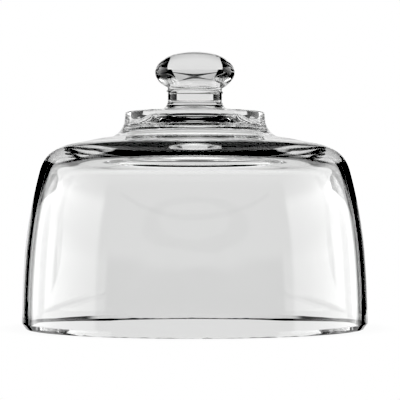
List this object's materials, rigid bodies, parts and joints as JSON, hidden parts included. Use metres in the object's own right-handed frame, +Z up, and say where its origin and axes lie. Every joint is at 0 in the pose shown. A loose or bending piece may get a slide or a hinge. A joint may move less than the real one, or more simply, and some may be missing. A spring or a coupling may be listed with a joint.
{
  "type": "cake stand dome",
  "caption": "Clear glass bell with a raised collar and a solid glass knob, which covers a cake on its stand.",
  "frame": {"origin": "centre of the rim, on the plane that the dome stands on", "axes": "+Z up along the axis of the bell and the knob; the dome is round, so +X and +Y are any two directions across it"},
  "size_m": [0.286, 0.286, 0.2294],
  "materials": {
    "clear_glass": "clear colourless pressed glass, fire polished and smooth",
    "knob_glass": "clear colourless solid glass, fire polished and smooth",
    "clear_seam": "clear and smooth, a bright line seen through the glass"
  },
  "bodies": {
    "root": {"bell": "clear_glass", "knob": "knob_glass", "seam": "clear_seam"}
  },
  "joints": []
}
